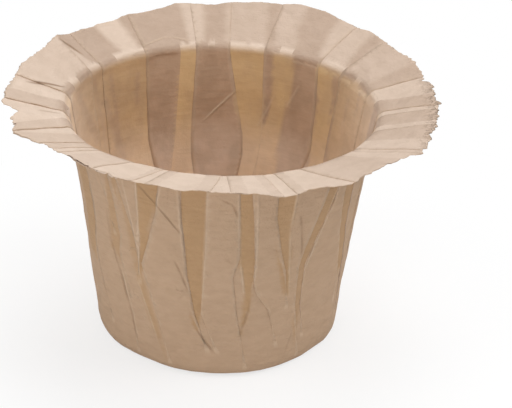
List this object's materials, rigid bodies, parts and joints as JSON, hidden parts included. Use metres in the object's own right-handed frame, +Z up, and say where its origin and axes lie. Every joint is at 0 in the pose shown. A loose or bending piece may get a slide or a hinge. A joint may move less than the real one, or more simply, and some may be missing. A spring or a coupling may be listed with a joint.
{
  "type": "paper coffee filter",
  "caption": "Pleated unbleached paper cup with a flat base and a wide turned-out flange, for lining a single-serve brewing pod.",
  "frame": {"origin": "centre of the underside of the base", "axes": "+Z up the cup from the base to the flange, -Y towards the front of the picture, +X to its right"},
  "size_m": [0.0635, 0.0654, 0.0404],
  "materials": {
    "paper": "matt unbleached crepe filter paper, translucent where it lies in one layer"
  },
  "bodies": {
    "root": {"folded_paper": "paper"}
  },
  "joints": []
}
